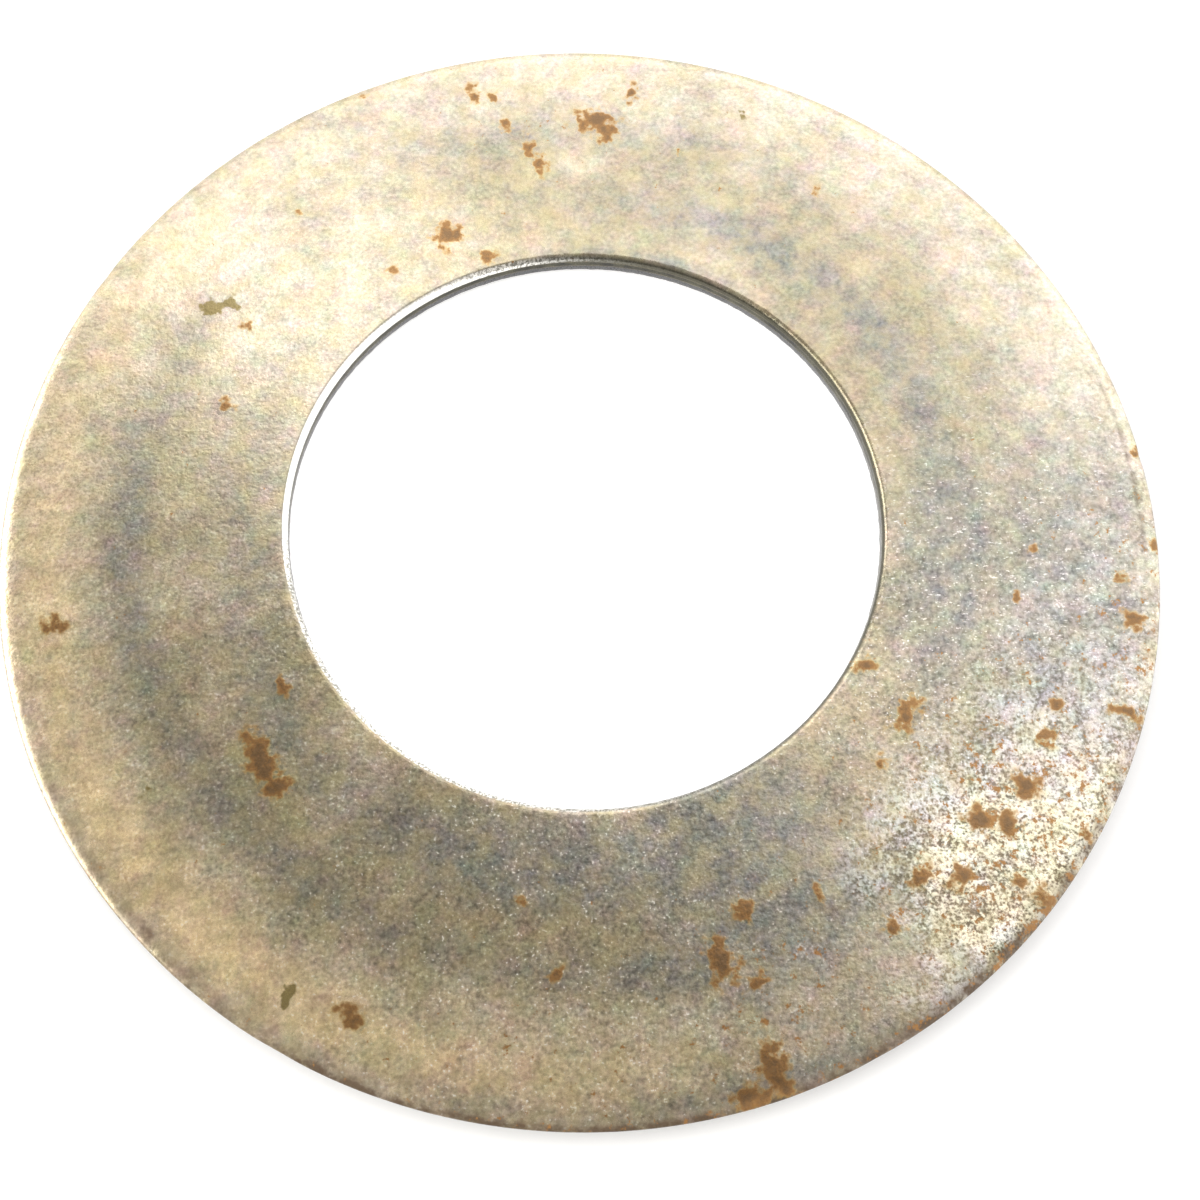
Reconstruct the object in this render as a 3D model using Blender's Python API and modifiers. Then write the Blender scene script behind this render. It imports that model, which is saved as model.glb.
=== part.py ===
"""Flat washer: one ring of sheet steel, 60 mm outside, 31 mm bore, 1.25 mm thick.

Units are metres, +Z is up along the ring's axis, and the origin is on that axis in the plane
of the lower face. The ring is stamped in one stroke, so its two walls are mirror images of
each other. The punch first draws the upper edge over, then shears a straight band of wall,
and the rest of the wall breaks away and leans back from the cut, down to a small edge break.
"""

import math

import bpy

NAME = "flat_washer"

# Driving dimensions.
OUTER_DIAMETER = 0.060
BORE_DIAMETER = 0.031
THICKNESS = 0.00125

# The stamped edges. A roll is the rounding that the punch draws over the upper edge.
OUTER_ROLL_WIDTH = 0.0012
OUTER_ROLL_DEPTH = 0.00025
BORE_ROLL_WIDTH = 0.00036
BORE_ROLL_DEPTH = 0.00036
SHEARED_SHARE = 0.55  # how far down the wall the straight, sheared band reaches
FRACTURE_LEAN = 0.00003  # how far the broken band below it leans back from the cut
EDGE_BREAK = 0.00006

# How finely the ring is divided.
TURN_STEPS = 144
ROLL_STEPS = 4
MERGE_DISTANCE = 0.00001
SHARP_ANGLE = math.radians(35)

# Zinc-plated steel with a dulled, slightly yellow passivation, as linear RGB.
ZINC_COLOUR = (0.42, 0.37, 0.27, 1.0)
ZINC_METALLIC = 0.85
ZINC_ROUGHNESS = 0.42


def clear_scene():
    for obj in list(bpy.data.objects):
        bpy.data.objects.remove(obj, do_unlink=True)


def wall_profile(radius, outwards, roll_width, roll_depth):
    """One stamped wall from the upper face down to the lower face, as (radius, height) points.

    outwards is 1 for a wall that faces away from the axis and -1 for one that faces it.
    """
    points = []
    for step in range(ROLL_STEPS + 1):
        turn = math.pi / 2 * step / ROLL_STEPS
        inset = roll_width * (1 - math.sin(turn))
        drop = roll_depth * (1 - math.cos(turn))
        points.append((radius - outwards * inset, THICKNESS - drop))
    leaned = radius - outwards * FRACTURE_LEAN
    points.append((radius, THICKNESS * (1 - SHEARED_SHARE)))
    points.append((leaned, EDGE_BREAK))
    points.append((leaned - outwards * EDGE_BREAK, 0.0))
    return points


def washer_profile():
    """The ring's closed section, down its outer wall and back up the wall of its bore."""
    outer = wall_profile(OUTER_DIAMETER / 2, 1, OUTER_ROLL_WIDTH, OUTER_ROLL_DEPTH)
    bore = wall_profile(BORE_DIAMETER / 2, -1, BORE_ROLL_WIDTH, BORE_ROLL_DEPTH)
    return outer + bore[::-1]


def turned_mesh(name, profile):
    """A closed section turned once round the Z axis, with its edges sharp where it bends."""
    count = len(profile)
    section = bpy.data.meshes.new(name + "_section")
    vertices = [(radius, 0.0, height) for radius, height in profile]
    edges = [(index, (index + 1) % count) for index in range(count)]
    section.from_pydata(vertices, edges, [])

    turning = bpy.data.objects.new(name + "_turning", section)
    bpy.context.scene.collection.objects.link(turning)
    screw = turning.modifiers.new("Turn", "SCREW")
    screw.axis = "Z"
    screw.angle = 2 * math.pi
    screw.steps = TURN_STEPS
    screw.render_steps = TURN_STEPS
    screw.use_merge_vertices = True
    screw.merge_threshold = MERGE_DISTANCE

    graph = bpy.context.evaluated_depsgraph_get()
    mesh = bpy.data.meshes.new_from_object(turning.evaluated_get(graph))
    mesh.name = name
    bpy.data.objects.remove(turning, do_unlink=True)
    bpy.data.meshes.remove(section)
    mesh.shade_smooth()
    mesh.set_sharp_from_angle(angle=SHARP_ANGLE)
    return mesh


def zinc_material():
    material = bpy.data.materials.new("zinc_plated_steel")
    material.use_nodes = True
    shader = material.node_tree.nodes["Principled BSDF"]
    shader.inputs["Base Color"].default_value = ZINC_COLOUR
    shader.inputs["Metallic"].default_value = ZINC_METALLIC
    shader.inputs["Roughness"].default_value = ZINC_ROUGHNESS
    return material


def build_washer():
    parts = bpy.data.collections.new("flat_washer_parts")
    bpy.context.scene.collection.children.link(parts)
    mesh = turned_mesh(NAME, washer_profile())
    mesh.materials.append(zinc_material())
    washer = bpy.data.objects.new(NAME, mesh)
    parts.objects.link(washer)


clear_scene()
build_washer()
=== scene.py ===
"""The looks of the flat washer: a weathered, zinc-plated ring stamped from sheet steel.

The ring that CAD packed is the frame. This script builds the fine ring that is shown in its
place, with the rolled and sheared edges, the nicks, the rust crusts and the slight waviness of
real sheet. It gives the ring a procedural zinc and rust finish, with painted highlights and shade
in places, and lights it on white paper that glows a little with painted light.

Lengths are in metres. A bearing is an angle round the ring in degrees, counter-clockwise from +X.
The camera looks along +Y and down, so +X is to its right.
"""

import math

import bpy
import numpy as np
from mathutils import Matrix, Vector, noise


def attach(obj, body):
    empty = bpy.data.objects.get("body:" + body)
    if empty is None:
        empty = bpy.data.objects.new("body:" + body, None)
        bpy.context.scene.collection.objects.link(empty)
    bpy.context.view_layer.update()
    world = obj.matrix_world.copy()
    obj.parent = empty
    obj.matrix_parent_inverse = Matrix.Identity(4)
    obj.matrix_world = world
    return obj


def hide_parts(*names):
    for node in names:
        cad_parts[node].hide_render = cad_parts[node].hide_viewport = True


NODE = "flat_washer"
BODY = "root"
MM = 0.001

# ---------------------------------------------------------------- the ring's own sizes

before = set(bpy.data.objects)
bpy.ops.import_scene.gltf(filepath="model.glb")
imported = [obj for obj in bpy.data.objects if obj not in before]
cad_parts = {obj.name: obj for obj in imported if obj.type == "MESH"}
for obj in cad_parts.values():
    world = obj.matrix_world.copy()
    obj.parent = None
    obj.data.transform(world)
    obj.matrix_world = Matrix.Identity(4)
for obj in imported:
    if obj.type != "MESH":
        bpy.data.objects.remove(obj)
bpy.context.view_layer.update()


def ring_sizes(node):
    """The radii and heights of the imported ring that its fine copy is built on."""
    tiny = 0.001 * MM
    points = np.array([vertex.co for vertex in node.data.vertices])
    radii = np.hypot(points[:, 0], points[:, 1])
    heights = points[:, 2]
    on_top = heights > heights.max() - tiny
    on_bottom = heights < heights.min() + tiny
    on_outside = radii > radii.max() - tiny
    on_bore = radii < radii.min() + tiny
    return {
        "outer": radii.max(),
        "bore": radii.min(),
        "thickness": heights.max() - heights.min(),
        "top_outer": radii[on_top].max(),
        "top_bore": radii[on_top].min(),
        "bottom_outer": radii[on_bottom].max(),
        "bottom_bore": radii[on_bottom].min(),
        "outer_shear_top": heights[on_outside].max(),
        "outer_shear_end": heights[on_outside].min(),
        "bore_shear_top": heights[on_bore].max(),
        "bore_shear_end": heights[on_bore].min(),
    }


RING = ring_sizes(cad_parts[NODE])
OUTER = RING["outer"]
THICKNESS = RING["thickness"]

# ---------------------------------------------------------------- marks on the ring

# Rust patches: bearing in degrees, distance from the axis as a share of the outer radius, length
# along the radius and width across it in mm, and strength, from 0 for the faintest to 1.
RUST_PATCHES = [
    (-3.5, 0.990, 0.5, 0.6, 0.9),
    (-7.5, 0.930, 0.9, 0.6, 0.9),
    (-12.0, 0.950, 1.1, 0.9, 1.0),
    (-22.0, 0.965, 1.3, 0.7, 0.7),
    (-35.0, 0.980, 0.8, 0.6, 0.6),
    (-42.5, 0.975, 1.2, 0.7, 0.8),
    (-24.0, 0.855, 0.7, 0.5, 0.8),
    (-28.0, 0.857, 0.8, 0.8, 0.9),
    (-34.0, 0.860, 1.1, 1.1, 0.8),
    (-39.0, 0.868, 1.2, 1.1, 0.9),
    (-40.5, 0.828, 1.6, 0.9, 1.0),
    (-47.0, 0.860, 1.0, 1.1, 0.8),
    (-50.0, 0.815, 0.9, 1.0, 0.8),
    (-56.0, 0.853, 0.9, 0.8, 0.7),
    (-43.0, 0.930, 0.9, 0.7, 0.6),
    (-34.5, 0.640, 1.0, 1.7, 0.9),
    (-43.0, 0.650, 0.6, 0.7, 0.8),
    (-31.0, 0.545, 0.8, 1.0, 0.9),
    (-5.0, 0.780, 0.5, 0.5, 0.7),
    (-12.0, 0.750, 0.4, 0.6, 0.5),
    (-73.0, 0.955, 2.4, 1.1, 1.0),
    (-76.0, 0.985, 0.9, 1.6, 0.9),
    (-75.0, 0.785, 1.7, 1.3, 0.9),
    (-72.0, 0.827, 0.8, 1.2, 0.7),
    (-70.5, 0.720, 0.9, 0.9, 0.8),
    (-61.0, 0.750, 0.9, 0.5, 0.6),
    (-94.0, 0.775, 1.1, 0.6, 0.6),
    (-99.5, 0.673, 0.5, 0.5, 0.6),
    (-113.5, 0.910, 0.8, 1.3, 0.7),
    (-136.8, 0.693, 1.1, 1.5, 0.9),
    (-139.5, 0.687, 1.2, 1.6, 1.0),
    (-142.2, 0.680, 1.2, 1.5, 0.9),
    (-148.0, 0.590, 0.6, 0.8, 0.8),
    (-167.0, 0.910, 1.2, 0.8, 0.7),
    (162.0, 0.670, 0.9, 0.9, 0.4),
    (149.0, 0.718, 0.6, 0.7, 0.6),
    (131.0, 0.810, 0.5, 0.4, 0.5),
    (126.0, 0.600, 0.5, 0.7, 0.7),
    (114.5, 0.620, 1.5, 1.6, 0.8),
    (109.5, 0.545, 0.8, 0.9, 0.8),
    (116.0, 0.980, 0.4, 0.6, 0.7),
    (103.5, 0.915, 1.3, 0.8, 0.6),
    (101.5, 0.895, 0.9, 0.7, 0.6),
    (100.5, 0.830, 0.9, 0.8, 0.7),
    (88.5, 0.830, 1.3, 2.0, 0.9),
    (87.0, 0.805, 1.3, 1.0, 0.8),
    (84.0, 0.900, 1.3, 0.7, 0.5),
    (98.0, 0.770, 1.4, 0.7, 0.6),
    (96.5, 0.730, 1.2, 1.0, 0.7),
    (76.5, 0.780, 0.6, 0.4, 0.6),
    (115.5, 0.720, 0.4, 0.5, 0.5),
    (56.5, 0.800, 0.7, 0.4, 0.5),
    (7.0, 0.992, 0.5, 0.7, 0.8),
]

# Even a faint patch of rust shows clearly, so the strengths above are raised to between this one
# and 1, in even steps.
FAINTEST_RUST = 0.4
RUST_STEPS = 20

# Patches of olive stain, given as the rust patches are, with strengths that stay as they are.
OLIVE_PATCHES = [
    (149.5, 0.790, 1.2, 1.0, 0.9),
    (147.5, 0.768, 0.9, 0.8, 0.8),
    (-120.0, 0.927, 0.9, 0.5, 1.0),
    (-146.0, 0.860, 0.9, 1.2, 0.4),
    (70.0, 0.905, 0.8, 0.7, 0.4),
]

# Where fine rust specks gather: bearing, share of the radius, length and width in mm, density.
SPECK_FIELDS = [
    (-38.0, 0.880, 12.0, 18.0, 1.0),
    (-70.0, 0.890, 9.0, 13.0, 0.8),
    (-90.0, 0.920, 7.0, 16.0, 0.45),
    (-12.0, 0.930, 7.0, 14.0, 0.75),
    (100.0, 0.830, 9.0, 10.0, 0.35),
]

# Grey water stains that lie as rings, and one ring of painted shade along the bore's far edge:
# share of the radius, half width as a share, and then the bearings where the ring shows most, each
# with the angle it fades over and its strength.
RING_STAINS_AND_SHADE = [
    (0.790, 0.042, [(-176.0, 23.0, 0.9)]),
    (0.772, 0.036, [(-128.0, 36.0, 0.7), (-75.0, 26.0, 1.0)]),
    (0.645, 0.045, [(-6.0, 20.0, 1.4), (30.0, 25.0, 1.0), (62.0, 24.0, 1.1)]),
    (0.635, 0.048, [(-95.0, 36.0, 1.0), (-140.0, 22.0, 0.7)]),
    (0.815, 0.060, [(84.0, 42.0, 0.65)]),
    (0.940, 0.090, [(120.0, 24.0, 0.4)]),
    (0.850, 0.150, [(-12.0, 24.0, 1.25)]),
    (0.580, 0.065, [(-10.0, 22.0, 0.7), (-85.0, 32.0, 0.9), (-174.0, 24.0, 0.6)]),
    (0.720, 0.260, [(-68.0, 11.0, 1.1)]),
    (0.975, 0.022, [(-88.0, 30.0, 0.8)]),
    # Painted shade on the face along the bore's far edge
    (0.533, 0.012, [(76.0, 18.0, 1.0)]),
]

# The satin band inside the outer edge, where the coating has little grain and is painted lighter
# as a sheen, given as a ring stain is.
SATIN_BAND = (
    0.925,
    0.055,
    [(-132.0, 34.0, 1.0), (-105.0, 24.0, 0.7), (-165.0, 30.0, 0.7), (165.0, 30.0, 0.4)],
)

# Dirt on the rolled outer edge, and painted shade where the edge turns down to the paper, given as
# the ring stains are.
EDGE_DIRT_AND_SHADE = [
    (0.981, 0.015, [(-136.0, 28.0, 0.70), (175.0, 14.0, 0.30)]),
    (0.999, 0.011, [(-97.0, 32.0, 1.2)]),
    (0.993, 0.015, [(-48.0, 24.0, 1.0)]),
    (0.974, 0.005, [(5.0, 13.0, 0.6)]),
]

# Where the coating is painted lighter as a highlight, given as the ring stains are.
PAINTED_HIGHLIGHT_BANDS = [
    (0.60, 0.30, [(142.0, 34.0, 1.0), (75.0, 40.0, 0.4)]),
    (0.97, 0.09, [(50.0, 42.0, 1.0)]),
    (0.89, 0.20, [(2.0, 34.0, 0.8)]),
]

# Where the grain is coarse, where the face is lightly scratched along X, with the scratches
# painted white as glints, and where the bore's roll has its painted highlight: bearing, the angle
# it fades over, strength.
COARSE = [
    (-32.0, 36.0, 1.0),
    (-95.0, 50.0, 1.0),
    (-155.0, 30.0, 0.5),
]
# Fine scratches along X, painted white as glints
SCRATCHES_AND_GLINTS = [
    (-12.0, 34.0, 1.0),
]
# Where the bore's roll has its painted highlight
ROLL_HIGHLIGHT_PLACES = [
    (148.0, 31.0, 5.0),
    (-130.0, 50.0, 0.7),
]

# The worn patch of bright, coarse grain, painted white and cream as a highlight: it ends at one
# bearing, over a few ragged degrees, fades out from its middle the other way, and sets in between
# two shares of the radius.
WORN_HIGHLIGHT_END, WORN_HIGHLIGHT_END_WIDTH = -56.0, 8.0
WORN_HIGHLIGHT_END_WAVES, WORN_HIGHLIGHT_END_WAVELENGTH = 7.0, 3.0 * MM
WORN_HIGHLIGHT_MIDDLE, WORN_HIGHLIGHT_FADE = -46.0, 23.0
WORN_HIGHLIGHT_INSIDE, WORN_HIGHLIGHT_FULL = 0.62, 0.88

# Nicks in the outer edge: bearing, length along the edge and depth in mm.
EDGE_NICKS = [
    (17.5, 0.7, 0.05),
    (6.5, 0.9, 0.06),
    (-64.0, 1.6, 0.02),
    (-118.0, 2.0, 0.03),
    (152.0, 1.2, 0.03),
]

# ---------------------------------------------------------------- fields over the ring

PATCH_FALLOFF = 0.7  # how steeply a patch fades out from its middle
OCTAVE_FADE, OCTAVE_STEP = 1.0, 2.0  # how much weaker and finer each layer of noise is


def polar(points):
    """How far each point lies from the axis, and its bearing."""
    x, y = points[:, 0], points[:, 1]
    return np.hypot(x, y), np.degrees(np.arctan2(y, x))


def on_ring(bearing, share):
    """The point of the upper face at a bearing and a share of the outer radius."""
    turn = math.radians(bearing)
    return OUTER * share * math.cos(turn), OUTER * share * math.sin(turn)


def between(bearings, middle):
    """The angle from a middle bearing to each bearing, from -180 to 180 degrees."""
    return (bearings - middle + 180) % 360 - 180


def eased(values, start, end):
    """A smooth step from 0 at start to 1 at end."""
    share = np.clip((values - start) / (end - start), 0, 1)
    return share * share * (3 - 2 * share)


def rough(points, wavelength, octaves=2):
    """Smooth noise between about -1 and 1 at each point, the same on every run."""
    scaled = points / wavelength
    return np.array([noise.fractal(Vector(p), OCTAVE_FADE, OCTAVE_STEP, octaves) for p in scaled])


def raised(patches):
    """The patches with their strengths raised to between the faintest rust and 1."""
    rows = []
    for *place, strength in patches:
        shown = FAINTEST_RUST + (1 - FAINTEST_RUST) * strength
        rows.append((*place, round(shown * RUST_STEPS) / RUST_STEPS))
    return rows


def patch_field(points, patches):
    """How strongly patches cover each point: 1 or less at a patch's middle, 0 well outside."""
    x, y = points[:, 0], points[:, 1]
    covered = np.zeros_like(x)
    for bearing, share, length, width, strength in patches:
        turn = math.radians(bearing)
        middle_x, middle_y = on_ring(bearing, share)
        along = (x - middle_x) * math.cos(turn) + (y - middle_y) * math.sin(turn)
        across = (y - middle_y) * math.cos(turn) - (x - middle_x) * math.sin(turn)
        reach = np.hypot(along / (length * MM / 2), across / (width * MM / 2))
        covered = np.maximum(covered, strength * np.exp(-PATCH_FALLOFF * reach**2))
    return covered


def around_field(bearing, places):
    """How strongly something shows at each bearing, from the places where it shows most."""
    shown = np.zeros_like(bearing)
    for middle, fade, strength in places:
        shown = np.maximum(shown, strength * np.exp(-((between(bearing, middle) / fade) ** 2)))
    return shown


def band_field(radius, bearing, share, half_width, places):
    """A ring-shaped band that shows most at certain bearings."""
    return np.exp(-(((radius / OUTER - share) / half_width) ** 2)) * around_field(bearing, places)


def bands_field(radius, bearing, bands):
    """Several bands added up, as a share from 0 to 1."""
    return np.clip(sum(band_field(radius, bearing, *band) for band in bands), 0, 1)


def worn_highlight_field(points, radius, bearing):
    """The worn patch with its painted highlight: 1 where its bright grain is fullest."""
    past_end = between(bearing, WORN_HIGHLIGHT_END) + WORN_HIGHLIGHT_END_WAVES * rough(points, WORN_HIGHLIGHT_END_WAVELENGTH, 3)
    ended = eased(past_end, -WORN_HIGHLIGHT_END_WIDTH / 2, WORN_HIGHLIGHT_END_WIDTH / 2)
    faded = np.exp(-((between(bearing, WORN_HIGHLIGHT_MIDDLE) / WORN_HIGHLIGHT_FADE) ** 2))
    inside = eased(radius / OUTER, WORN_HIGHLIGHT_INSIDE, WORN_HIGHLIGHT_FULL)
    return ended * faded * inside


def surface_fields(points, zones):
    """The values that the finish reads at every point of the ring, most of them from 0 to 1."""
    radius, bearing = polar(points)
    upper = np.isin(zones, ["top", "roll"]).astype(float)
    inside, outside = RING["top_bore"], RING["top_outer"]
    return {
        "rust": patch_field(points, raised(RUST_PATCHES)) * upper,
        "olive": patch_field(points, OLIVE_PATCHES) * upper,
        "specks": patch_field(points, SPECK_FIELDS) * upper,
        "stain_and_shade": bands_field(radius, bearing, RING_STAINS_AND_SHADE) * upper,
        "satin": band_field(radius, bearing, *SATIN_BAND) * upper,
        "worn_highlight": worn_highlight_field(points, radius, bearing) * upper,
        "painted_highlight": bands_field(radius, bearing, PAINTED_HIGHLIGHT_BANDS) * upper,
        "dirt_and_shade": bands_field(radius, bearing, EDGE_DIRT_AND_SHADE) * upper,
        "coarse": around_field(bearing, COARSE) * upper,
        "scratches_and_glints": around_field(bearing, SCRATCHES_AND_GLINTS) * upper,
        "roll_highlight": around_field(bearing, ROLL_HIGHLIGHT_PLACES) * upper,
        "outwards": np.clip((radius - inside) / (outside - inside), 0, 1) * upper,
        "bore_roll": np.clip((inside - radius) / (inside - RING["bore"]), 0, 1) * upper,
        "shear": (zones == "shear").astype(float),
        "fracture": (zones == "fracture").astype(float),
    }


# ---------------------------------------------------------------- the fine ring

TURN_STEPS = 640
TOP_STEPS = 60
BOTTOM_STEPS = 34
ROLL_STEPS = 10
SHEAR_STEPS = 5
FRACTURE_STEPS = 5

# The relief of real metal: the height or depth of each kind, and the size of its features.
WAVINESS, WAVE_SIZE = 0.030 * MM, 22 * MM
PEEL_DEPTH, PEEL_SIZE = 0.0025 * MM, 1.3 * MM
CRUST_HEIGHT, CRUST_SIZE = 0.030 * MM, 0.6 * MM
ROLL_MARK_DEPTH, ROLL_MARK_SIZE = 0.011 * MM, 0.45 * MM
SHEAR_MARK_DEPTH, SHEAR_MARK_SIZE = 0.010 * MM, 0.5 * MM
FRACTURE_DEPTH, FRACTURE_SIZE = 0.030 * MM, 0.45 * MM
BURR, BURR_SIZE = 0.035 * MM, 0.9 * MM

CRUST_UNEVENNESS = 0.2
CRUST_STARTS = 0.05  # the rust field's value from which there is a crust
SHEAR_MARK_SQUEEZE = 0.12  # how wide the marks are, as a share of their length down the wall
BURRED_SHARE = 0.12  # how far up the wall the burr reaches, as a share of the thickness
NICK_FOOT, NICK_FOOT_SHARE = 0.3, 0.3  # under this share of the thickness, nicks are shallower


def spaced(start, end, steps):
    """Evenly spaced values after start, up to and including end."""
    return [start + (end - start) * step / steps for step in range(1, steps + 1)]


def roll_points(flat_radius, wall_radius, shear_top):
    """A rolled edge, from the end of the flat upper face to the top of the sheared wall."""
    points = []
    for turn in spaced(0, math.pi / 2, ROLL_STEPS):
        radius = flat_radius + (wall_radius - flat_radius) * math.sin(turn)
        height = shear_top + (THICKNESS - shear_top) * math.cos(turn)
        points.append((radius, height, "roll"))
    return points


def wall_points(side):
    """A wall, from under its rolled edge down to the lower face."""
    radius = RING[side]
    end_radius = RING["bottom_" + side]
    shear_top = RING[side + "_shear_top"]
    shear_end = RING[side + "_shear_end"]
    points = [(radius, height, "shear") for height in spaced(shear_top, shear_end, SHEAR_STEPS)]
    for height in spaced(shear_end, 0.0, FRACTURE_STEPS):
        share = (shear_end - height) / shear_end
        points.append((radius + (end_radius - radius) * share**2, height, "fracture"))
    return points


def edge_points(side):
    """One stamped edge, from the end of the flat upper face down to the lower face."""
    roll = roll_points(RING["top_" + side], RING[side], RING[side + "_shear_top"])
    return roll + wall_points(side)


def section_points():
    """The closed section: over the upper face, down the outside, back underneath, up the bore."""
    over = spaced(RING["top_bore"], RING["top_outer"], TOP_STEPS)
    under = spaced(RING["bottom_outer"], RING["bottom_bore"], BOTTOM_STEPS)[:-1]
    top = [(radius, THICKNESS, "top") for radius in over]
    bottom = [(radius, 0.0, "bottom") for radius in under]
    start = [(RING["top_bore"], THICKNESS, "top")]
    return top + edge_points("outer") + bottom + edge_points("bore")[::-1] + start


def section_normals(section):
    """The outward direction at each point of a closed section, as (radial, height) pairs."""
    flat = np.array([point[:2] for point in section])
    along = np.roll(flat, -1, axis=0) - np.roll(flat, 1, axis=0)
    normals = np.stack([-along[:, 1], along[:, 0]], axis=1)
    return normals / np.linalg.norm(normals, axis=1)[:, None]


def turned(radial, upwards):
    """Radial and height values of the section, turned round the axis as vectors in space."""
    turns = np.repeat(np.arange(TURN_STEPS) * 2 * math.pi / TURN_STEPS, len(radial))
    radial = np.tile(radial, TURN_STEPS)
    upwards = np.tile(upwards, TURN_STEPS)
    return np.stack([radial * np.cos(turns), radial * np.sin(turns), upwards], axis=1)


def turned_faces(rows):
    """The four-sided faces that join each turned copy of the section to the next one."""
    faces = []
    for step in range(TURN_STEPS):
        here = step * rows
        there = (step + 1) % TURN_STEPS * rows
        for row in range(rows):
            after = (row + 1) % rows
            faces.append((here + row, here + after, there + after, there + row))
    return faces


def nick_depth(points):
    """How far the nicks push each point in, most at the outer edge and less low on its wall."""
    radius, bearing = polar(points)
    pushed = np.zeros_like(bearing)
    for middle, length, depth in EDGE_NICKS:
        apart = np.radians(between(bearing, middle)) * OUTER
        pushed = np.maximum(pushed, depth * MM * np.exp(-((apart / (length * MM / 2)) ** 2)))
    pushed *= np.clip((radius - RING["top_outer"]) / (OUTER - RING["top_outer"]), 0, 1)
    pushed[points[:, 2] < NICK_FOOT * THICKNESS] *= NICK_FOOT_SHARE
    return pushed


def displaced(points, normals, zones, crust):
    """The smooth ring's points, moved to where worn and weathered metal lies."""
    radius, _ = polar(points)
    crusted = crust > CRUST_STARTS
    faces = np.isin(zones, ["top", "roll", "bottom"])
    bore_roll = (zones == "roll") & (radius < RING["top_bore"])
    shear = zones == "shear"
    fracture = zones == "fracture"
    burred = fracture & (points[:, 2] < BURRED_SHARE * THICKNESS)

    lift = np.zeros(len(points))
    lumps = 1 - CRUST_UNEVENNESS + CRUST_UNEVENNESS * rough(points[crusted], CRUST_SIZE)
    lift[crusted] += CRUST_HEIGHT * crust[crusted] * lumps
    lift[faces] += PEEL_DEPTH * rough(points[faces], PEEL_SIZE)
    lift[bore_roll] += ROLL_MARK_DEPTH * rough(points[bore_roll], ROLL_MARK_SIZE)
    drawn_out = points[shear] * (1, 1, SHEAR_MARK_SQUEEZE)
    lift[shear] += SHEAR_MARK_DEPTH * rough(drawn_out, SHEAR_MARK_SIZE)
    lift[fracture] += FRACTURE_DEPTH * rough(points[fracture], FRACTURE_SIZE, 3)

    moved = points + normals * lift[:, None]
    level = points * (1, 1, 0)
    moved[:, 2] += WAVINESS * rough(level, WAVE_SIZE, 1)
    moved[burred, 2] -= BURR * np.abs(rough(level[burred], BURR_SIZE))
    moved[:, :2] *= (1 - nick_depth(points) / radius)[:, None]
    return moved


def fine_ring():
    """The ring as one closed mesh, with the fields that its finish reads as point attributes."""
    section = section_points()
    radii, heights, zones = zip(*section)
    outwards = section_normals(section)
    points = turned(radii, heights)
    normals = turned(outwards[:, 0], outwards[:, 1])
    zones = np.tile(zones, TURN_STEPS)
    fields = surface_fields(points, zones)
    moved = displaced(points, normals, zones, np.maximum(fields["rust"], fields["olive"]))

    mesh = bpy.data.meshes.new("washer")
    mesh.from_pydata(moved.tolist(), [], turned_faces(len(section)))
    for name, values in fields.items():
        attribute = mesh.attributes.new(name, "FLOAT", "POINT")
        attribute.data.foreach_set("value", values.astype(np.float32))
    mesh.shade_smooth()
    ring = bpy.data.objects.new("washer_ring", mesh)
    bpy.context.scene.collection.objects.link(ring)
    return ring


# ---------------------------------------------------------------- node helpers

# The mix node's sockets for colours are named as those for numbers are, so they go by number.
MIX_SHARE, MIX_FIRST, MIX_SECOND = 0, 6, 7
MIX_RESULT = 2


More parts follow.
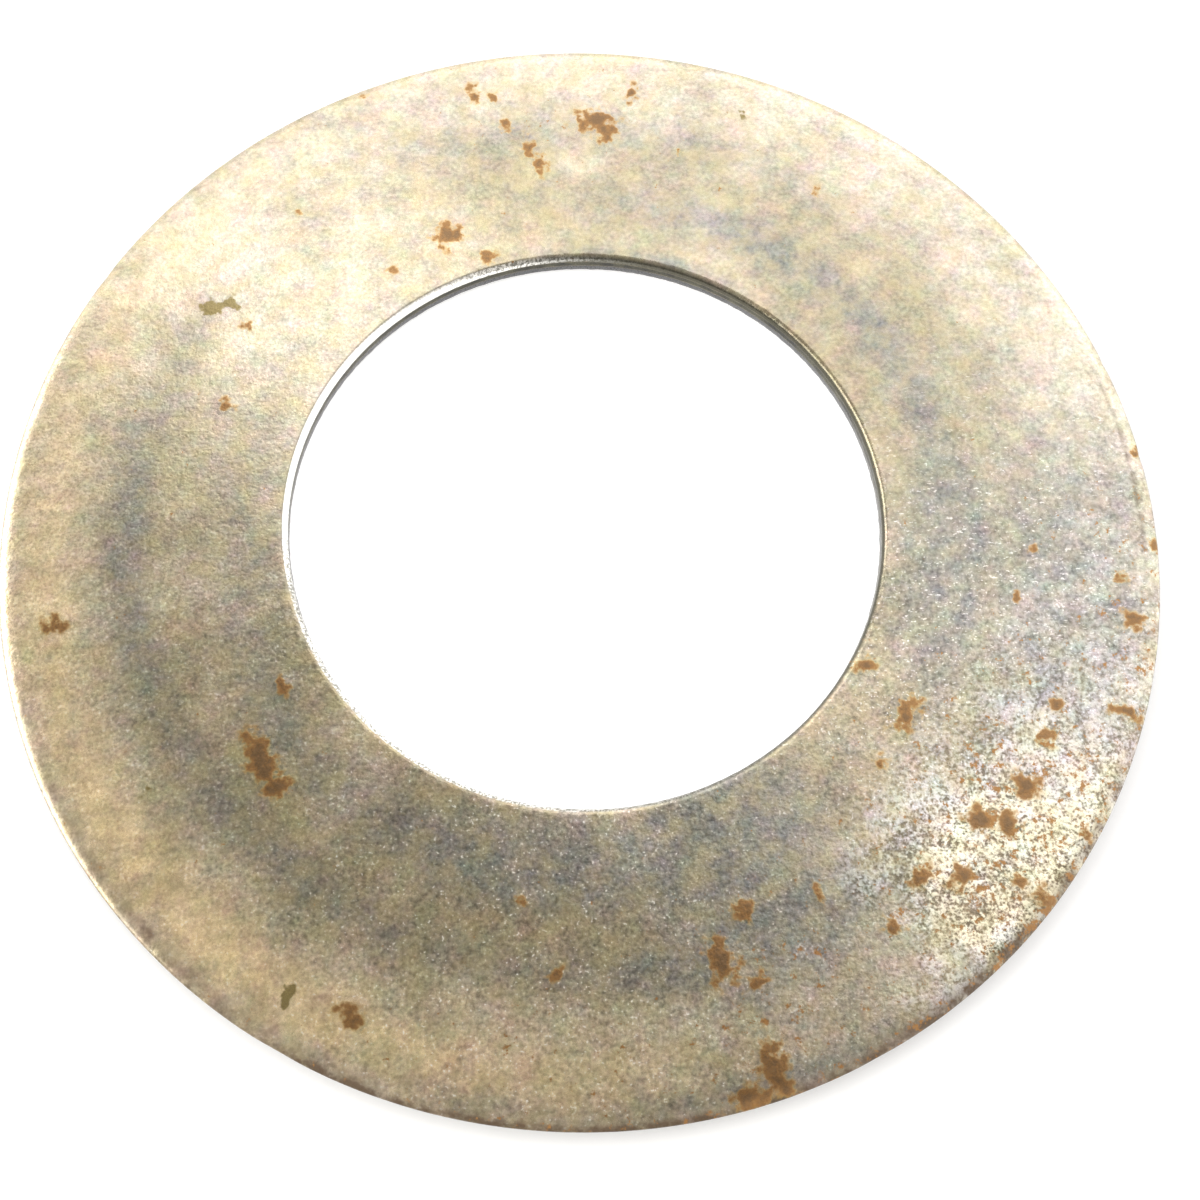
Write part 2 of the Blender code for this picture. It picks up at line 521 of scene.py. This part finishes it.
class Nodes:
    """Short forms for building the node tree of a material or of the world."""

    def __init__(self, owner, shader="Principled BSDF", place="Object"):
        owner.use_nodes = True
        self.tree = owner.node_tree
        self.shader = self.tree.nodes[shader]
        self.place = self.add("TexCoord").outputs[place]

    def add(self, kind, **settings):
        """A new node with its settings."""
        node = self.tree.nodes.new("ShaderNode" + kind)
        for name, value in settings.items():
            setattr(node, name, value)
        return node

    def put(self, value, socket):
        """Sets a socket to a number or a colour, or links it to another node's output."""
        if isinstance(value, bpy.types.NodeSocket):
            self.tree.links.new(value, socket)
        else:
            socket.default_value = value

    def fed(self, node, inputs):
        """The node, once its inputs are set or linked, each by its name or number."""
        for name, value in inputs.items():
            self.put(value, node.inputs[name])
        return node

    def noise(self, size, detail, roughness, output="Fac", place=None):
        """Noise whose features are about this size."""
        inputs = {"Scale": 1 / size, "Detail": detail, "Roughness": roughness}
        inputs["Vector"] = place or self.place
        return self.fed(self.add("TexNoise"), inputs).outputs[output]

    def scaled_place(self, scale):
        """The place on the ring, stretched or squeezed along its axes."""
        node = self.add("VectorMath", operation="MULTIPLY")
        return self.fed(node, {0: self.place, 1: scale}).outputs[0]

    def distance(self):
        """How far the place is from the origin."""
        node = self.add("VectorMath", operation="LENGTH")
        return self.fed(node, {0: self.place}).outputs["Value"]

    def math(self, operation, first, second, clamp):
        node = self.add("Math", operation=operation, use_clamp=clamp)
        return self.fed(node, {0: first, 1: second}).outputs[0]

    def times(self, first, second, clamp=False):
        return self.math("MULTIPLY", first, second, clamp)

    def plus(self, first, second, clamp=False):
        return self.math("ADD", first, second, clamp)

    def larger(self, first, second):
        return self.math("MAXIMUM", first, second, False)

    def remap(self, value, low, high, to_low=0.0, to_high=1.0, smooth=False):
        """The value's range from low to high, brought to another range and held inside it."""
        node = self.add("MapRange", interpolation_type="SMOOTHSTEP" if smooth else "LINEAR")
        for socket, number in zip(node.inputs, (value, low, high, to_low, to_high)):
            self.put(number, socket)
        return node.outputs[0]

    def mix(self, share, first, second, blend="MIX"):
        """One colour turned into another by a share from 0 to 1."""
        node = self.add("Mix", data_type="RGBA", blend_type=blend)
        inputs = {MIX_SHARE: share, MIX_FIRST: first, MIX_SECOND: second}
        return self.fed(node, inputs).outputs[MIX_RESULT]

    def scale(self, colour, factor):
        """A colour made lighter or darker."""
        node = self.add("VectorMath", operation="SCALE")
        return self.fed(node, {0: colour, "Scale": factor}).outputs[0]

    def field(self, name):
        """One of the mesh's own fields."""
        return self.add("Attribute", attribute_name=name).outputs["Fac"]

    def bump(self, height, depth):
        """The normals of a relief whose height of 1 is this deep."""
        inputs = {"Strength": 1.0, "Distance": depth, "Height": height}
        return self.fed(self.add("Bump"), inputs).outputs["Normal"]


# ---------------------------------------------------------------- zinc, stain and rust

# Noises: the size of their features, how many finer layers they have, and how strong each of those
# is beside the one before it. A noise's values lie around 0.5, mostly from 0.3 to 0.7.
MOTTLE_SIZE = 0.9 * MM
RAGGED_SIZE = 0.55 * MM
SPARKLE_NOISE = (0.13 * MM, 1.0, 0.5)
SCRATCH_NOISE = (0.13 * MM, 2.0, 0.6)
GRAIN_NOISE = (0.25 * MM, 1.6, 0.6)
SPECK_NOISE = (0.9 * RAGGED_SIZE, 4.0, 0.7)
RAGGED_NOISE = (RAGGED_SIZE, 1.6, 0.5)
MOTTLE_NOISE = (MOTTLE_SIZE, 3.0, 0.6)
TINT_NOISE = (1.3 * MOTTLE_SIZE, 3.0, 0.6)
STREAK_NOISE = (1.6 * MOTTLE_SIZE, 4.0, 0.65)
CLOUD_NOISE = (4.5 * MM, 3.0, 0.5)
SCRATCH_STRETCH = 2.2  # how many times longer than wide the fine scratches are

# In the ranges of this section, a value from the first number to the second becomes one from the
# third to the fourth, or from 0 to 1 where there are only two. A share is the most of a colour
# that is mixed in.
ZINC_INNER = (0.315, 0.268, 0.178, 1.0)
ZINC_OUTER = (0.47, 0.405, 0.300, 1.0)
# Lighter colour of the satin band, a painted sheen
ZINC_SATIN_PAINTED_SHEEN = (0.76, 0.60, 0.365, 1.0)
ZINC_GREEN = (0.34, 0.325, 0.215, 1.0)
ZINC_PINK = (0.46, 0.378, 0.295, 1.0)
# Lighter coating colour of the painted highlights
ZINC_PAINTED_HIGHLIGHT = (0.505, 0.465, 0.390, 1.0)
# Grey of the water stains and of the painted shade along the bore
STAIN_AND_SHADE_GREY = (0.202, 0.205, 0.196, 1.0)
OUTER_RANGE = (0.52, 0.75)
PINK_RANGE = (0.50, 0.66, 0.0, 0.55)
GREEN_RANGE = (0.48, 0.34, 0.0, 0.35)
SATIN_SHEEN_MOTTLE = (0.35, 0.60, 0.75, 1.10)
STAIN_AND_SHADE_MOTTLE = (0.30, 0.65, 1.05, 0.68)
PAINTED_HIGHLIGHT_SHARE = 0.6
STAIN_AND_SHADE_SHARE = 0.85


def coating_colour(n, mottle, cloud):
    """The zinc before its grain: yellowish, cloudy, stained grey in rings with a ring of painted
    shade, satin with a painted sheen, and lighter with painted highlights.
    """
    outer = n.remap(n.field("outwards"), *OUTER_RANGE, smooth=True)
    colour = n.mix(outer, ZINC_INNER, ZINC_OUTER)
    colour = n.mix(n.remap(cloud, *PINK_RANGE), colour, ZINC_PINK)
    colour = n.mix(n.remap(cloud, *GREEN_RANGE), colour, ZINC_GREEN)
    # Painted highlight: the coating made lighter where the light is brightest
    colour = n.mix(n.times(n.field("painted_highlight"), PAINTED_HIGHLIGHT_SHARE), colour, ZINC_PAINTED_HIGHLIGHT)
    stain_and_shade = n.times(n.field("stain_and_shade"), n.remap(mottle, *STAIN_AND_SHADE_MOTTLE))
    colour = n.mix(n.times(stain_and_shade, STAIN_AND_SHADE_SHARE, clamp=True), colour, STAIN_AND_SHADE_GREY)
    # Satin band: smooth coating, painted lighter as a sheen
    satin = n.times(n.field("satin"), n.remap(mottle, *SATIN_SHEEN_MOTTLE), clamp=True)
    return n.mix(satin, colour, ZINC_SATIN_PAINTED_SHEEN)


# White of the painted glints, which the scratches are painted in too
PAINTED_GLINT_WHITE = (0.95, 0.92, 0.84, 1.0)
GRAIN_SWING = (0.30, 0.70, -0.36, 0.36)
GRAIN_WHERE_COARSE = (0, 1, 0.55, 1.15)
GRAIN_WHERE_SATIN = (0, 1, 1.0, 0.4)
MOTTLE_SWING = (0.25, 0.75, -0.18, 0.18)
CLOUD_SWING = (0.3, 0.7, -0.14, 0.14)
PAINTED_GLINT_MOTTLE = (0.3, 0.7, -0.05, 0.05)
PAINTED_GLINT_RANGE = (0.68, 0.74, 0.0, 0.7)
SCRATCH_RANGE = (0.62, 0.72, 0.0, 0.6)


def grained_colour(n, colour, grain, sparkle, mottle, cloud):
    """The coating with its grain, its painted glints, and its fine scratches painted white as
    glints.
    """
    coarse = n.remap(n.field("coarse"), *GRAIN_WHERE_COARSE)
    strength = n.times(n.remap(n.field("satin"), *GRAIN_WHERE_SATIN), coarse)
    uneven = n.plus(n.remap(mottle, *MOTTLE_SWING), n.remap(cloud, *CLOUD_SWING))
    swing = n.times(n.remap(grain, *GRAIN_SWING), strength)
    colour = n.scale(colour, n.plus(n.plus(swing, uneven), 1.0))

    # Painted glints: white specks that stand in for highlights
    painted_glinting = n.plus(sparkle, n.remap(mottle, *PAINTED_GLINT_MOTTLE))
    painted_glint = n.times(n.remap(painted_glinting, *PAINTED_GLINT_RANGE), n.field("coarse"))
    colour = n.mix(painted_glint, colour, PAINTED_GLINT_WHITE)

    # Fine scratches along X, painted white as glints
    stretched = n.scaled_place((1 / SCRATCH_STRETCH, 1.0, 1.0))
    scratches_painted_as_glints = n.remap(n.noise(*SCRATCH_NOISE, place=stretched), *SCRATCH_RANGE)
    return n.mix(n.times(scratches_painted_as_glints, n.field("scratches_and_glints")), colour, PAINTED_GLINT_WHITE)


# Colours of the worn patch, painted white and cream as a highlight
WORN_HIGHLIGHT_CREAM = (0.98, 0.92, 0.70, 1.0)
WORN_HIGHLIGHT_WHITE = (0.90, 0.91, 0.93, 1.0)
WORN_HIGHLIGHT_GAP = (0.155, 0.120, 0.080, 1.0)
DOT_SPARKLE, DOT_GRAIN, DOT_MOTTLE, DOT_CLOUD = 0.44, 0.38, 0.34, 0.12
DOT_RANGE = (0.55, 0.69)
CREAM_STREAKS = (0.35, 0.65, -0.5, 0.5)
CREAM_WORN_HIGHLIGHT = (0.3, 0.8)
WORN_HIGHLIGHT_CLOUD = (0.35, 0.65, 0.8, 1.2)
WORN_HIGHLIGHT_UNDER_STAIN_AND_SHADE = (0, 1, 1.0, 0.7)
WORN_HIGHLIGHT_SHARE = 0.92


def worn_highlight_colour(n, colour, grain, sparkle, mottle, cloud, streaks):
    """The coating with its worn patch: bright dots of bare metal painted white and cream as a
    highlight, and dirt in the gaps.
    """
    dots = n.plus(n.times(sparkle, DOT_SPARKLE), n.times(grain, DOT_GRAIN))
    dots = n.plus(dots, n.times(mottle, DOT_MOTTLE))
    dots = n.plus(dots, n.times(cloud, DOT_CLOUD))
    creamy = n.remap(n.field("worn_highlight"), *CREAM_WORN_HIGHLIGHT)
    creamy = n.plus(n.remap(streaks, *CREAM_STREAKS), creamy, clamp=True)
    bare = n.mix(creamy, WORN_HIGHLIGHT_WHITE, WORN_HIGHLIGHT_CREAM)
    bare = n.mix(n.remap(dots, *DOT_RANGE), WORN_HIGHLIGHT_GAP, bare)
    bare = n.scale(bare, n.remap(n.field("stain_and_shade"), *WORN_HIGHLIGHT_UNDER_STAIN_AND_SHADE))
    # Worn patch, painted as a highlight
    worn_highlight = n.times(n.field("worn_highlight"), n.remap(cloud, *WORN_HIGHLIGHT_CLOUD), clamp=True)
    return n.mix(n.times(worn_highlight, WORN_HIGHLIGHT_SHARE), colour, bare)


NEUTRAL = (0.5, 0.5, 0.5, 1.0)
TINT_PALENESS, TINT_SHARE = 0.6, 0.5
ZINC_YELLOW = (0.47, 0.39, 0.20, 1.0)
YELLOW_STREAKS = (0.44, 0.64, 0.0, 0.8)
YELLOW_WHERE_SCRATCHED = (0, 1, 1.0, 0.35)
YELLOW_SHARE = 0.5


def tinted_colour(n, colour, streaks):
    """The surface with the faint, changing hues of its passivation, and its yellow streaks."""
    tint = n.mix(TINT_PALENESS, n.noise(*TINT_NOISE, output="Color"), NEUTRAL)
    colour = n.mix(TINT_SHARE, colour, tint, blend="OVERLAY")
    yellowed = n.mix(YELLOW_SHARE, colour, ZINC_YELLOW)
    kept = n.remap(n.field("scratches_and_glints"), *YELLOW_WHERE_SCRATCHED)
    return n.mix(n.times(n.remap(streaks, *YELLOW_STREAKS), kept), colour, yellowed)


# The bore's roll: painted highlight in near-white, painted shade in near-black
ROLL_PAINTED_HIGHLIGHT = (0.97, 0.96, 0.92, 1.0)
ROLL_PAINTED_SHADE = (0.068, 0.065, 0.048, 1.0)
ROLL_RANGE = (0.38, 0.80, 0.0, 0.95)
ROLL_WHERE_HIGHLIT = (0, 1, 0.0, 0.3)
PAINTED_SHINE_SPARKLE = (0.42, 0.58, 0.4, 1.4)
PAINTED_SHINE_RANGE = (0.26, 0.42)


def painted_roll_colour(n, colour, sparkle):
    """The surface with the bore's roll, painted dark as shade, and painted bright as a highlight at
    some bearings.
    """
    roll, roll_highlight = n.field("bore_roll"), n.field("roll_highlight")
    # Painted highlight on the roll, in sparkling dots
    painted_shine = n.times(roll_highlight, n.remap(sparkle, *PAINTED_SHINE_SPARKLE), clamp=True)
    painted_shine = n.times(painted_shine, n.remap(roll, *PAINTED_SHINE_RANGE))
    rolled = n.plus(roll, n.remap(roll_highlight, *ROLL_WHERE_HIGHLIT))
    return n.mix(n.remap(rolled, *ROLL_RANGE), colour, n.mix(painted_shine, ROLL_PAINTED_SHADE, ROLL_PAINTED_HIGHLIGHT))


# Brown of the edge dirt, which also paints the shade on the edge's outermost rim
EDGE_BROWN_DIRT_AND_SHADE = (0.095, 0.064, 0.041, 1.0)
RUST_OCHRE = (0.290, 0.148, 0.052, 1.0)
RUST_BROWN = (0.155, 0.092, 0.046, 1.0)
RUST_HALO = (0.46, 0.30, 0.090, 1.0)
OLIVE_BROWN = (0.19, 0.148, 0.055, 1.0)
DIRT_AND_SHADE_MOTTLE = (0.3, 0.65, 1.2, 0.6)
DIRT_AND_SHADE_RANGE, DIRT_AND_SHADE_SHARE = (0.05, 0.90), 0.95
RAGGED_SWING = (0.3, 0.7, -0.42, 0.42)
RAGGED_GRAIN = (0.3, 0.7, -0.16, 0.16)
RUST_STRENGTH = 1.15
RUST_RANGE, RUST_NEAR, RUST_SHARE = (0.40, 0.74), (0.04, 0.25), 0.96
RUST_DARKNESS = (0.50, 1.15)
HALO_RANGE, HALO_NEAR, HALO_SHARE = (0.22, 0.60), (0.02, 0.2), 0.5
OLIVE_RANGE, OLIVE_SHARE = (0.30, 0.60), 0.92
SPECK_RANGE, SPECK_DENSITY, SPECKS_IN_DIRT_AND_SHADE = (0.67, 0.75), 0.13, 0.5


def soiled_and_shaded_colour(n, colour, grain, mottle):
    """The surface with dirt and painted shade on the outer edge, rust and olive stain, and how much
    of the last two and of the dirt and shade.
    """
    rust_patch, olive_patch = n.field("rust"), n.field("olive")
    # Dirt and painted shade on the rolled outer edge
    patchy = n.times(n.field("dirt_and_shade"), n.remap(mottle, *DIRT_AND_SHADE_MOTTLE))
    dirt_and_shade = n.remap(patchy, *DIRT_AND_SHADE_RANGE)
    colour = n.mix(n.times(dirt_and_shade, DIRT_AND_SHADE_SHARE), colour, EDGE_BROWN_DIRT_AND_SHADE)

    ragged = n.remap(n.noise(*RAGGED_NOISE), *RAGGED_SWING)
    ragged = n.plus(ragged, n.remap(grain, *RAGGED_GRAIN))
    rust_depth = n.plus(n.times(rust_patch, RUST_STRENGTH), ragged)
    density = n.plus(n.field("specks"), n.times(dirt_and_shade, SPECKS_IN_DIRT_AND_SHADE))
    specks = n.plus(n.noise(*SPECK_NOISE), n.times(density, SPECK_DENSITY))
    specks = n.remap(specks, *SPECK_RANGE, smooth=True)
    rust = n.times(n.remap(rust_depth, *RUST_RANGE, smooth=True), n.remap(rust_patch, *RUST_NEAR))
    rust = n.larger(rust, specks)
    halo = n.times(n.remap(rust_depth, *HALO_RANGE, smooth=True), n.remap(rust_patch, *HALO_NEAR))
    colour = n.mix(n.times(halo, HALO_SHARE), colour, RUST_HALO)
    rust_colour = n.mix(n.remap(rust_depth, *RUST_DARKNESS), RUST_OCHRE, RUST_BROWN)
    colour = n.mix(n.times(rust, RUST_SHARE), colour, rust_colour)

    olive = n.remap(n.plus(olive_patch, ragged), *OLIVE_RANGE, smooth=True)
    olive = n.times(olive, n.remap(olive_patch, *RUST_NEAR))
    colour = n.mix(n.times(olive, OLIVE_SHARE), colour, OLIVE_BROWN)
    return colour, n.larger(rust, olive), dirt_and_shade


# The sheared band under each roll is painted dark as the roll's shadow, mottled olive
SHEAR_PAINTED_SHADOW_DARK = (0.045, 0.044, 0.040, 1.0)
SHEAR_PAINTED_SHADOW_OLIVE = (0.105, 0.100, 0.070, 1.0)
SHEAR_MOTTLE = (0.35, 0.65)
FRACTURE_GREY = (0.075, 0.075, 0.080, 1.0)
RUST_DULLNESS = 0.1
METALLIC_WHERE_DULL = (0, 1, 0.85, 0.05)
GLOSS_WHERE_SOILED = (0, 1, 0.5, 0.2)
ROUGHNESS_SPARKLE = (0.3, 0.7, 0.22, 0.34)
SPARKLE_RELIEF = 0.4
GRAIN_DEPTH = 0.012 * MM
RELIEF_WHERE_SATIN = (0, 1, 1.0, 0.25)


def zinc_material():
    """The ring's whole finish, from the coating's colour to its relief."""
    material = bpy.data.materials.new("zinc_plated_steel")
    n = Nodes(material)
    grain = n.noise(*GRAIN_NOISE)
    sparkle = n.noise(*SPARKLE_NOISE)
    mottle = n.noise(*MOTTLE_NOISE)
    cloud = n.noise(*CLOUD_NOISE)
    streaks = n.noise(*STREAK_NOISE)
    colour = coating_colour(n, mottle, cloud)
    colour = grained_colour(n, colour, grain, sparkle, mottle, cloud)
    colour = worn_highlight_colour(n, colour, grain, sparkle, mottle, cloud, streaks)
    colour = tinted_colour(n, colour, streaks)
    colour = painted_roll_colour(n, colour, sparkle)
    colour, rust, dirt_and_shade = soiled_and_shaded_colour(n, colour, grain, mottle)
    fracture = n.field("fracture")
    # Sheared band painted dark as the shadow under the roll
    shadowed_shear = n.mix(n.remap(mottle, *SHEAR_MOTTLE), SHEAR_PAINTED_SHADOW_DARK, SHEAR_PAINTED_SHADOW_OLIVE)
    colour = n.mix(n.field("shear"), colour, shadowed_shear)
    colour = n.mix(fracture, colour, FRACTURE_GREY)

    dull = n.plus(n.times(rust, RUST_DULLNESS), n.larger(dirt_and_shade, fracture), clamp=True)
    relief = n.plus(grain, n.times(sparkle, SPARKLE_RELIEF))
    relief = n.times(relief, n.remap(n.field("satin"), *RELIEF_WHERE_SATIN))
    finish = {
        "Base Color": colour,
        "Metallic": n.remap(dull, *METALLIC_WHERE_DULL),
        "Specular IOR Level": n.remap(n.larger(rust, dirt_and_shade), *GLOSS_WHERE_SOILED),
        "Roughness": n.remap(sparkle, *ROUGHNESS_SPARKLE),
        "Normal": n.bump(relief, GRAIN_DEPTH),
    }
    n.fed(n.shader, finish)
    return material


# ---------------------------------------------------------------- paper and backdrop

PAPER_SIZE, PAPER_SQUARES = 2.0, 8
PAPER_DEPTH = 2 * BURR  # the paper lies this far down, clear of the burr
PAPER_DARK = (0.70, 0.70, 0.70, 1.0)
PAPER_LIGHT = (0.74, 0.74, 0.74, 1.0)
FIBRE_NOISE = (0.6 * MM, 3.0, 0.6)
# The paper's glow is painted light that lifts the shadows, most inside the hole
PAPER_GLOW = 0.26
HOLE_GLOW = 0.60

BACKDROP_RADIUS = 0.95
BACKDROP_SEGMENTS, BACKDROP_RINGS = 48, 24
WHITE = (1.0, 1.0, 1.0, 1.0)
BLACK = (0.0, 0.0, 0.0, 1.0)


def paper_material():
    """White paper that glows with painted light, most inside the hole, which lifts the shadows."""
    material = bpy.data.materials.new("white_paper")
    n = Nodes(material)
    finish = {
        "Base Color": n.mix(n.noise(*FIBRE_NOISE), PAPER_DARK, PAPER_LIGHT),
        "Roughness": 0.9,
        "Specular IOR Level": 0.1,
        "Emission Color": WHITE,
        "Emission Strength": n.remap(n.distance(), RING["bore"], OUTER, HOLE_GLOW, PAPER_GLOW),
    }
    n.fed(n.shader, finish)
    return material


def backdrop_material():
    """Plain white that looks the same from everywhere."""
    material = bpy.data.materials.new("backdrop_white")
    n = Nodes(material)
    finish = {
        "Base Color": BLACK,
        "Specular IOR Level": 0.0,
        "Emission Color": WHITE,
        "Emission Strength": 1.0,
    }
    n.fed(n.shader, finish)
    return material


def add_paper():
    bpy.ops.mesh.primitive_grid_add(
        x_subdivisions=PAPER_SQUARES, y_subdivisions=PAPER_SQUARES, size=PAPER_SIZE
    )
    paper = bpy.context.object
    paper.name = "paper"
    paper.location.z = -PAPER_DEPTH
    paper.data.materials.append(paper_material())


def add_backdrop():
    """A white dome all round, which only the camera sees: the room behind it lights the ring."""
    bpy.ops.mesh.primitive_uv_sphere_add(
        segments=BACKDROP_SEGMENTS, ring_count=BACKDROP_RINGS, radius=BACKDROP_RADIUS
    )
    dome = bpy.context.object
    dome.name = "backdrop"
    dome.visible_diffuse = False
    dome.visible_glossy = False
    dome.visible_shadow = False
    dome.data.materials.append(backdrop_material())


# ---------------------------------------------------------------- camera, light and room

CAMERA_PLACE = Vector((-0.0469, -0.9142, 2.0967)) * OUTER + Vector((0, 0, THICKNESS))
CAMERA_AIM = Vector((0.0212, -0.1627, 0.0)) * OUTER + Vector((0, 0, THICKNESS))
CAMERA_ROLL = math.radians(-0.63)
CAMERA_LENS = 39.45
CAMERA_NEAREST = 0.1 * MM
SENSOR_WIDTH = 36.0

# The window is a level panel of light above the ring, off to one bearing. The ring's near left
# mirrors the dimmer room on this side of it, and the rest of the ring mirrors the panel.
WINDOW_BEARING = 54.0
WINDOW_HEIGHT = 0.50
WINDOW_NEAR, WINDOW_FAR = 0.112, 0.95
WINDOW_LEFT, WINDOW_RIGHT = 0.75, 0.22
WINDOW_RADIANCE = 1.60
WINDOW_COLOUR = (0.97, 0.98, 1.05)

LAMP_PLACE = Vector((-0.088, 0.278, 0.45))
LAMP_DIAMETER = 0.135
LAMP_RADIANCE = 2.0
LAMP_COLOUR = (1.0, 0.985, 0.92)

# A low light to the far left of the ring, which lights its bore's near right wall.
SIDE_BEARING = 176.0
SIDE_DISTANCE, SIDE_HEIGHT = 0.55, 0.30
SIDE_SIZE = (0.70, 0.28)
SIDE_RADIANCE = 7.0
SIDE_COLOUR = (1.0, 0.99, 0.96)

# The room's colours, and between which parts of a direction each fades into the next.
ROOM_OVERHEAD = (0.46, 0.43, 0.385, 1.0)
ROOM_HORIZON = (1.75, 1.73, 1.68, 1.0)
ROOM_RIGHT = (2.3, 2.27, 2.2, 1.0)
ROOM_NEAR = (0.45, 0.43, 0.40, 1.0)
NEAR_TO_HORIZON = (-0.7, -0.1)
HORIZON_TO_OVERHEAD = (0.40, 0.82)
ROOM_TO_RIGHT = (0.50, 0.64)


def add_camera():
    data = bpy.data.cameras.new("camera")
    data.lens = CAMERA_LENS
    data.sensor_width = SENSOR_WIDTH
    data.clip_start = CAMERA_NEAREST
    camera = bpy.data.objects.new("camera", data)
    bpy.context.scene.collection.objects.link(camera)
    forward = (CAMERA_AIM - CAMERA_PLACE).normalized()
    right = forward.cross(Vector((0, 1, 0))).normalized()
    up = right.cross(forward)
    facing = Matrix((right, up, -forward)).transposed()
    turned_facing = facing @ Matrix.Rotation(CAMERA_ROLL, 3, "Z")
    camera.matrix_world = Matrix.Translation(CAMERA_PLACE) @ turned_facing.to_4x4()
    bpy.context.scene.camera = camera


def add_panel(name, shape, place, turn, size, radiance, colour):
    """A panel that shines down its own -Z. Its power is its radiance times pi and its area."""
    data = bpy.data.lights.new(name, "AREA")
    data.shape = shape
    data.size, data.size_y = size
    area = size[0] * size[1] * (1.0 if shape == "RECTANGLE" else math.pi / 4)
    data.energy = radiance * math.pi * area
    data.color = colour
    panel = bpy.data.objects.new(name, data)
    panel.location = place
    panel.rotation_euler = turn
    panel.visible_camera = False
    bpy.context.scene.collection.objects.link(panel)


def add_lights():
    turn = math.radians(WINDOW_BEARING)
    middle = ((WINDOW_NEAR + WINDOW_FAR) / 2, (WINDOW_LEFT - WINDOW_RIGHT) / 2, WINDOW_HEIGHT)
    place = Matrix.Rotation(turn, 3, "Z") @ Vector(middle)
    size = (WINDOW_FAR - WINDOW_NEAR, WINDOW_LEFT + WINDOW_RIGHT)
    add_panel("window", "RECTANGLE", place, (0, 0, turn), size, WINDOW_RADIANCE, WINDOW_COLOUR)

    size = (LAMP_DIAMETER, LAMP_DIAMETER)
    add_panel("lamp", "DISK", LAMP_PLACE, (0, 0, 0), size, LAMP_RADIANCE, LAMP_COLOUR)

    turn = math.radians(SIDE_BEARING)
    place = Matrix.Rotation(turn, 3, "Z") @ Vector((SIDE_DISTANCE, 0, SIDE_HEIGHT))
    facing = (math.atan2(SIDE_DISTANCE, SIDE_HEIGHT), 0, turn + math.pi / 2)
    add_panel("side", "RECTANGLE", place, facing, SIDE_SIZE, SIDE_RADIANCE, SIDE_COLOUR)


def add_room():
    """The room: dim overhead and behind the camera, bright at the horizon and on the right."""
    world = bpy.data.worlds.new("room")
    n = Nodes(world, shader="Background", place="Generated")
    direction = n.fed(n.add("SeparateXYZ"), {"Vector": n.place}).outputs
    room = n.mix(n.remap(direction["Y"], *NEAR_TO_HORIZON, smooth=True), ROOM_NEAR, ROOM_HORIZON)
    room = n.mix(n.remap(direction["Z"], *HORIZON_TO_OVERHEAD, smooth=True), room, ROOM_OVERHEAD)
    room = n.mix(n.remap(direction["X"], *ROOM_TO_RIGHT, smooth=True), room, ROOM_RIGHT)
    n.fed(n.shader, {"Color": room})
    bpy.context.scene.world = world


# ---------------------------------------------------------------- the scene

bpy.context.scene.view_settings.view_transform = "Standard"
add_camera()
add_lights()
add_room()
add_paper()
add_backdrop()

washer_ring = fine_ring()
washer_ring.data.materials.append(zinc_material())
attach(washer_ring, BODY)
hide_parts(NODE)
